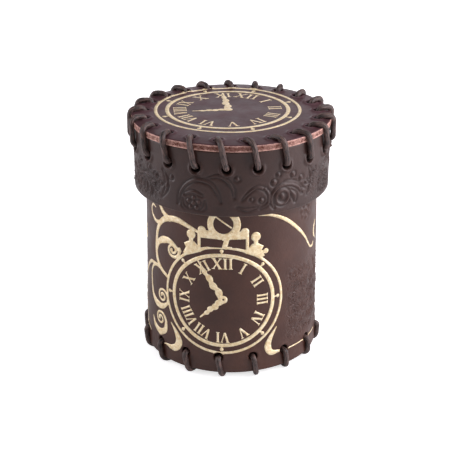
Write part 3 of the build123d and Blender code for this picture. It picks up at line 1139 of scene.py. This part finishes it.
def lace_finish(name):
    """Round leather lace, streaked along its length."""
    finish = Finish(name)
    along = finish.attribute("lace", "Vector")
    grain = {"Vector": along, "Scale": 2.4, "Detail": 5.0, "Roughness": 0.7, "Distortion": 0.4}
    streaks = finish.add("ShaderNodeTexNoise", grain).outputs["Fac"]
    pale = finish.ramp(streaks, 0.42, 0.62)
    colour = finish.mix(pale, srgb(26, 17, 15), srgb(116, 90, 83))
    blotch = finish.ramp(finish.noise(3.2, 3), 0.4, 0.7)
    colour = finish.mix(finish.times(blotch, 0.6), colour, srgb(36, 25, 22))
    finish.set("Base Color", colour)
    finish.set("Normal", finish.bump(streaks, 0.34, 0.9))
    finish.set("Roughness", finish.ramp(streaks, 0.3, 0.7, 0.34, 0.54))
    return finish.material


def thread_finish(name):
    """Waxed thread with a visible twist."""
    finish = Finish(name)
    twist = finish.add("ShaderNodeTexWave", {"Vector": finish.place, "Scale": 520.0, "Distortion": 1.2,
                                             "Detail": 2.0}, wave_type="BANDS", bands_direction="DIAGONAL")
    ply = twist.outputs["Fac"]
    finish.set("Base Color", finish.mix(ply, srgb(44, 32, 28), srgb(92, 74, 64)))
    finish.set("Normal", finish.bump(ply, 0.14, 0.8))
    finish.set("Roughness", finish.ramp(finish.noise(0.8), 0.3, 0.7, 0.38, 0.55))
    return finish.material


def foil_finish(name):
    """Pale gold foil, mottled, with pinholes where the leather shows."""
    finish = Finish(name)
    tone = finish.ramp(finish.noise(1.3, 5, 0.65), 0.36, 0.66)
    colour = finish.mix(tone, srgb(230, 202, 150), srgb(255, 241, 208))
    worn = finish.ramp(finish.noise(5.5, 6, 0.7), 0.56, 0.74)
    colour = finish.mix(finish.times(worn, 0.4), colour, srgb(190, 160, 108))
    specks = finish.ramp(finish.noise(0.42, 3, 0.7), 0.62, 0.72)
    finish.set("Base Color", finish.mix(finish.times(specks, 0.8), colour, srgb(70, 50, 40)))
    finish.set("Metallic", finish.ramp(specks, 0, 1, 0.3, 0.0))
    finish.set("Roughness", finish.ramp(finish.noise(2.0, 4), 0.3, 0.7, 0.34, 0.5))
    finish.set("Normal", finish.bump(finish.noise(0.8, 4), 0.05, 0.5))
    return finish.material


wall_leather = leather_finish("wall_leather", srgb(62, 34, 25), srgb(78, 47, 36), srgb(58, 38, 30),
                              srgb(100, 72, 58), 0.4)
band_leather = leather_finish("band_leather", srgb(50, 30, 25), srgb(66, 43, 37), srgb(88, 56, 42),
                              srgb(136, 98, 82), 0.4)
lid_leather = leather_finish("lid_leather", srgb(62, 33, 38), srgb(80, 46, 52), srgb(84, 34, 20),
                             srgb(214, 168, 154), 0.42)
base_leather = leather_finish("base_leather", srgb(54, 35, 29), srgb(72, 50, 42), srgb(80, 54, 42),
                              srgb(120, 92, 76), 0.45)
lace_leather = lace_finish("lace_leather")
waxed_thread = thread_finish("waxed_thread")
gold_foil = foil_finish("gold_foil")


# ---- The leather pieces ----
def rolled_sheet(name, form, ends, rows, columns, every, seam_angle, seam_heights, holes, tooling, *looks):
    """A rolled sheet between two heights; the back keeps one row in `every`."""
    low, high = ends
    front = np.round(np.linspace(low + edge_round, high - edge_round, rows), 4)
    back = back_rows(front, holes[0][1], seam_heights, every)
    edges = rounded_edge(high, 1)[1:-1], rounded_edge(low, -1)[1:-1][::-1]
    angles = strip_angles(seam_angle, form.outer(low), columns)
    holes = holes + thread_holes(seam_angle, form.plan_r, seam_heights)
    leather_sheet(name, form, angles, front, edges, back, holes, *looks, tooling)


def round_sheet(name, form, places, edge, columns, holes, hole_r, reach, *looks):
    """A round sheet with rows at the given distances from its middle."""
    front = np.concatenate(places).round(4)
    back = back_rows(front, hole_r, [], 5, reach)
    angles = np.linspace(0, TURN, columns, endpoint=False)
    leather_sheet(name, form, angles, front, (rounded_edge(edge, 1)[1:-1], []), back, holes, *looks)


wall_form = Strip(cup_plan_r, wall_outer, wall_relief, wall_wave)
band_form = Strip(lid_band_r, band_outer, band_relief, band_wave)
lid_form = Disc(lid_high, 1, lid_relief, lid_wave, lid_top_r, 0.18)
base_form = Disc(wall_low, -1, base_relief, flat_wave, base_r, 0.0)
lid_places = [np.linspace(1.5, 33.0, 17), [34.55], np.linspace(35.0, 43.0, 19),
              np.linspace(43.0, lid_top_r - edge_round, 4)[1:]]
base_places = [np.linspace(1.5, 28.5, 10), np.linspace(29.3, base_r - edge_round, 26)]


# ---- Laces ----
def softened(route, cuts, step=0.35):
    """Evenly spaced points on a route, its corners rounded from a given distance before each."""
    route = np.asarray(route, float)
    line = [route[0]]
    for before, corner, after, cut in zip(route[:-2], route[1:-1], route[2:], cuts[1:-1]):
        back, ahead = before - corner, after - corner
        reach = min(cut, 0.48 * np.linalg.norm(back), 0.48 * np.linalg.norm(ahead))
        start = corner + back / np.linalg.norm(back) * reach
        end = corner + ahead / np.linalg.norm(ahead) * reach
        for share in np.linspace(0, 1, 12):
            line.append((1 - share) ** 2 * start + 2 * share * (1 - share) * corner + share**2 * end)
    line.append(route[-1])
    line = np.array(line)
    along = np.concatenate([[0], np.cumsum(np.linalg.norm(np.diff(line, axis=0), axis=1))])
    places = np.linspace(0, along[-1], int(along[-1] / step))
    return np.stack([np.interp(places, along, line[:, axis]) for axis in range(3)], -1), places


def lace_piece(name, route, cuts, seed, body, node):
    """A leather lace that follows a route: round, streaked and a little uneven."""
    line, places = softened(route, cuts)
    heading = np.gradient(line, axis=0)
    heading /= np.linalg.norm(heading, axis=1)[:, None]
    side = np.cross(heading[0], (0.31, 0.44, 0.84))  # any direction that the lace does not start in
    sides = []
    for way in heading:
        side = side - way * (side @ way)
        side = side / np.linalg.norm(side)
        sides.append(side)
    sides = np.array(sides)
    other = np.cross(heading, sides)
    around = np.linspace(0, TURN, 14, endpoint=False)
    length = places[:, None] + 0 * around[None, :]
    spin = around[None, :] + 0 * length
    thicker = 0.05 * noise(length, spin * 0 + seed, 3.0, seed)
    lumpy = 0.035 * noise(length, spin * 2.0, 1.1, seed + 1)
    radius = lace_r * (0.98 + thicker + lumpy)
    points = line[:, None, :] + radius[..., None] * (
        np.cos(spin)[..., None] * sides[:, None, :] + np.sin(spin)[..., None] * other[:, None, :])
    count, parts = len(line), len(around)
    faces = []
    for n in range(count - 1):
        for m in range(parts):
            k = (m + 1) % parts
            faces.append((n * parts + m, n * parts + k, (n + 1) * parts + k, (n + 1) * parts + m))
    faces.append(list(range(parts))[::-1])
    faces.append([(count - 1) * parts + m for m in range(parts)])
    piece = make_object(name, points.reshape(-1, 3), faces, lace_leather, body, (node,))
    streak = np.stack([np.cos(spin), np.sin(spin), 0.16 * length], -1)
    add_attribute(piece, "lace", streak, "FLOAT_VECTOR")


def at(angle, radius, height):
    """A point from its angle in degrees, its distance from the axis and its height."""
    return polar(math.radians(angle), radius, height)


def base_stitch(n):
    """Out of the wall, down, under its edge and up through the base."""
    wall_angle = base_first_angle + base_pitch * (base_seam_stitch + 1 + n)
    base_angle = wall_angle + 2 * base_lean
    outer, lace_z = float(wall_outer(wall_hole_z)), wall_hole_z - lace_pull
    return [at(wall_angle, outer - leather - lace_off, lace_z),
            at(wall_angle, outer + lace_off + 0.1, lace_z),
            at(wall_angle + base_lean, cup_base_r + lace_off - 0.75, lace_r + 0.1),
            at(base_angle, base_hole_r, lace_r),
            at(base_angle, base_hole_r, floor_z + lace_off)]


def lid_stitch(n):
    """Up through the lid's top, over its edge, down and in through the band."""
    band_angle = lid_first_angle + lid_pitch * (lid_seam_stitch + 1 + n)
    top_angle = band_angle - 2 * lid_lean
    lace_z = band_hole_z + lace_pull
    return [at(top_angle, lid_hole_r, lid_under - lace_off),
            at(top_angle, lid_hole_r + 0.4, lid_high + lace_off - 0.4),
            at(band_angle - lid_lean, lid_top_r + lace_off - 0.45, lid_high + lace_off - 0.45),
            at(band_angle, lid_top_r + lace_off - 0.5, lace_z),
            at(band_angle, lid_band_r - leather - lace_off, lace_z)]


def make_lace(name, stitch, stitches, cuts, seed, body, node, share=0.4):
    """One cord through all stitches. Both its ends lie between the last hole and the first."""
    route = [point for n in range(stitches) for point in stitch(n)]
    first, last = route[0], route[-1]
    route = [first + (last - first) * share] + route + [last + (first - last) * share]
    lace_piece(name, route, [1.0] + cuts * stitches + [1.0], seed, body, node)


# ---- Build ----
rolled_sheet("cup_wall_leather", wall_form, (wall_low, rim_z), 134, 360, 12, cup_seam_angle,
             cup_seam_heights, wall_holes, wall_tooling, wall_leather, "cup", "cup_leather", "cup_wall")
rolled_sheet("lid_band_leather", band_form, (band_low, lid_under), 66, 560, 5, lid_seam_angle,
             lid_seam_heights, band_holes, band_tooling, band_leather, "lid", "lid_leather", "lid_band")
round_sheet("lid_top_leather", lid_form, lid_places, lid_top_r, 620, lid_holes, lid_hole_r, 4.2,
            lid_leather, "lid", "lid_leather", "lid_top")
round_sheet("cup_base_leather", base_form, base_places, base_r - 0.05, 560, base_holes, base_hole_r, 3.4,
            base_leather, "cup", "base_leather", "cup_base")
make_lace("base_lace_cord", base_stitch, base_stitches, [1.8, 2.0, 3.2, 1.8, 1.8], 31, "cup", "base_lace")
make_lace("lid_lace_cord", lid_stitch, lid_stitches, [1.8, 2.2, 3.0, 2.2, 1.8], 47, "lid", "lid_lace")
for node in ("cup_seam_thread", "lid_seam_thread"):
    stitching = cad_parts[node]
    stitching.data.materials.clear()
    stitching.data.materials.append(waxed_thread)


def cup_gold(x, y):
    """The gold drawing on the wall, as a signed distance."""
    return np.minimum(drawn(x, y, gold_shapes, gold_cut + gold_windows), drawn(x, y, gold_line))


def lid_gold(x, y):
    """The gold clock face on the lid, as a signed distance."""
    return drawn(x, y, lid_shapes)


lid_shapes = lid_drawing()
foil_piece("cup_foil", "cup", wall_form, cup_gold, (-118.0, 7.0), (120.0, 90.0))
foil_piece("lid_foil", "lid", lid_form, lid_gold, (-36.0, -31.0), (34.0, 39.0))


# ---- Floor and light ----
def make_floor():
    """A very large pale floor under the cup."""
    mesh = bpy.data.meshes.new("floor")
    corners = [(6 * math.cos(TURN * n / 64), 6 * math.sin(TURN * n / 64), 0) for n in range(64)]
    mesh.from_pydata(corners, [], [list(range(64))])
    finish = Finish("floor_white")
    finish.set("Base Color", (0.8, 0.8, 0.8, 1.0))
    finish.set("Roughness", 0.8)
    finish.set("Emission Color", (1.0, 1.0, 1.0, 1.0))
    seen = finish.add("ShaderNodeLightPath").outputs["Is Camera Ray"]
    finish.set("Emission Strength", finish.ramp(seen, 0, 1, 0.1, 0.72))
    mesh.materials.append(finish.material)
    floor = placed("floor", mesh)


def softbox(name, angle, distance, height, size, power):
    """A large soft light that looks at the middle of the cup."""
    data = bpy.data.lights.new(name, "AREA")
    data.shape = "RECTANGLE"
    data.size, data.size_y = size
    data.energy = power
    data.color = (0.98, 0.95, 1.0)
    lamp = placed(name, data)
    lamp.location = at(angle, distance, height)
    target = Vector((0, 0, 0.06))
    lamp.rotation_euler = (target - lamp.location).to_track_quat("-Z", "Y").to_euler()
    lamp.visible_camera = False


def set_world(light, seen):
    """White all round for the camera, dimmer as a light."""
    world = bpy.data.worlds.new("studio")
    bpy.context.scene.world = world
    world.use_nodes = True
    tree = world.node_tree
    background = tree.nodes["Background"]
    path = tree.nodes.new("ShaderNodeLightPath")
    strength = tree.nodes.new("ShaderNodeMapRange")
    strength.inputs["To Min"].default_value = light
    strength.inputs["To Max"].default_value = seen
    tree.links.new(path.outputs["Is Camera Ray"], strength.inputs["Value"])
    tree.links.new(strength.outputs["Result"], background.inputs["Strength"])
    background.inputs["Color"].default_value = (1.0, 1.0, 1.0, 1.0)


make_floor()
softbox("right_box", 80, 0.75, 0.36, (0.8, 1.0), 12.5)
softbox("left_box", -90, 0.8, 0.30, (0.4, 0.7), 4.6)
softbox("front_box", 8, 0.8, 0.75, (0.5, 0.4), 1.5)
softbox("top_box", 170, 0.45, 0.85, (0.6, 0.5), 1.1)
softbox("back_box", 180, 0.9, 0.2, (0.6, 0.3), 1.1)
set_world(0.1, 1.0)
bpy.context.scene.view_settings.view_transform = "Standard"
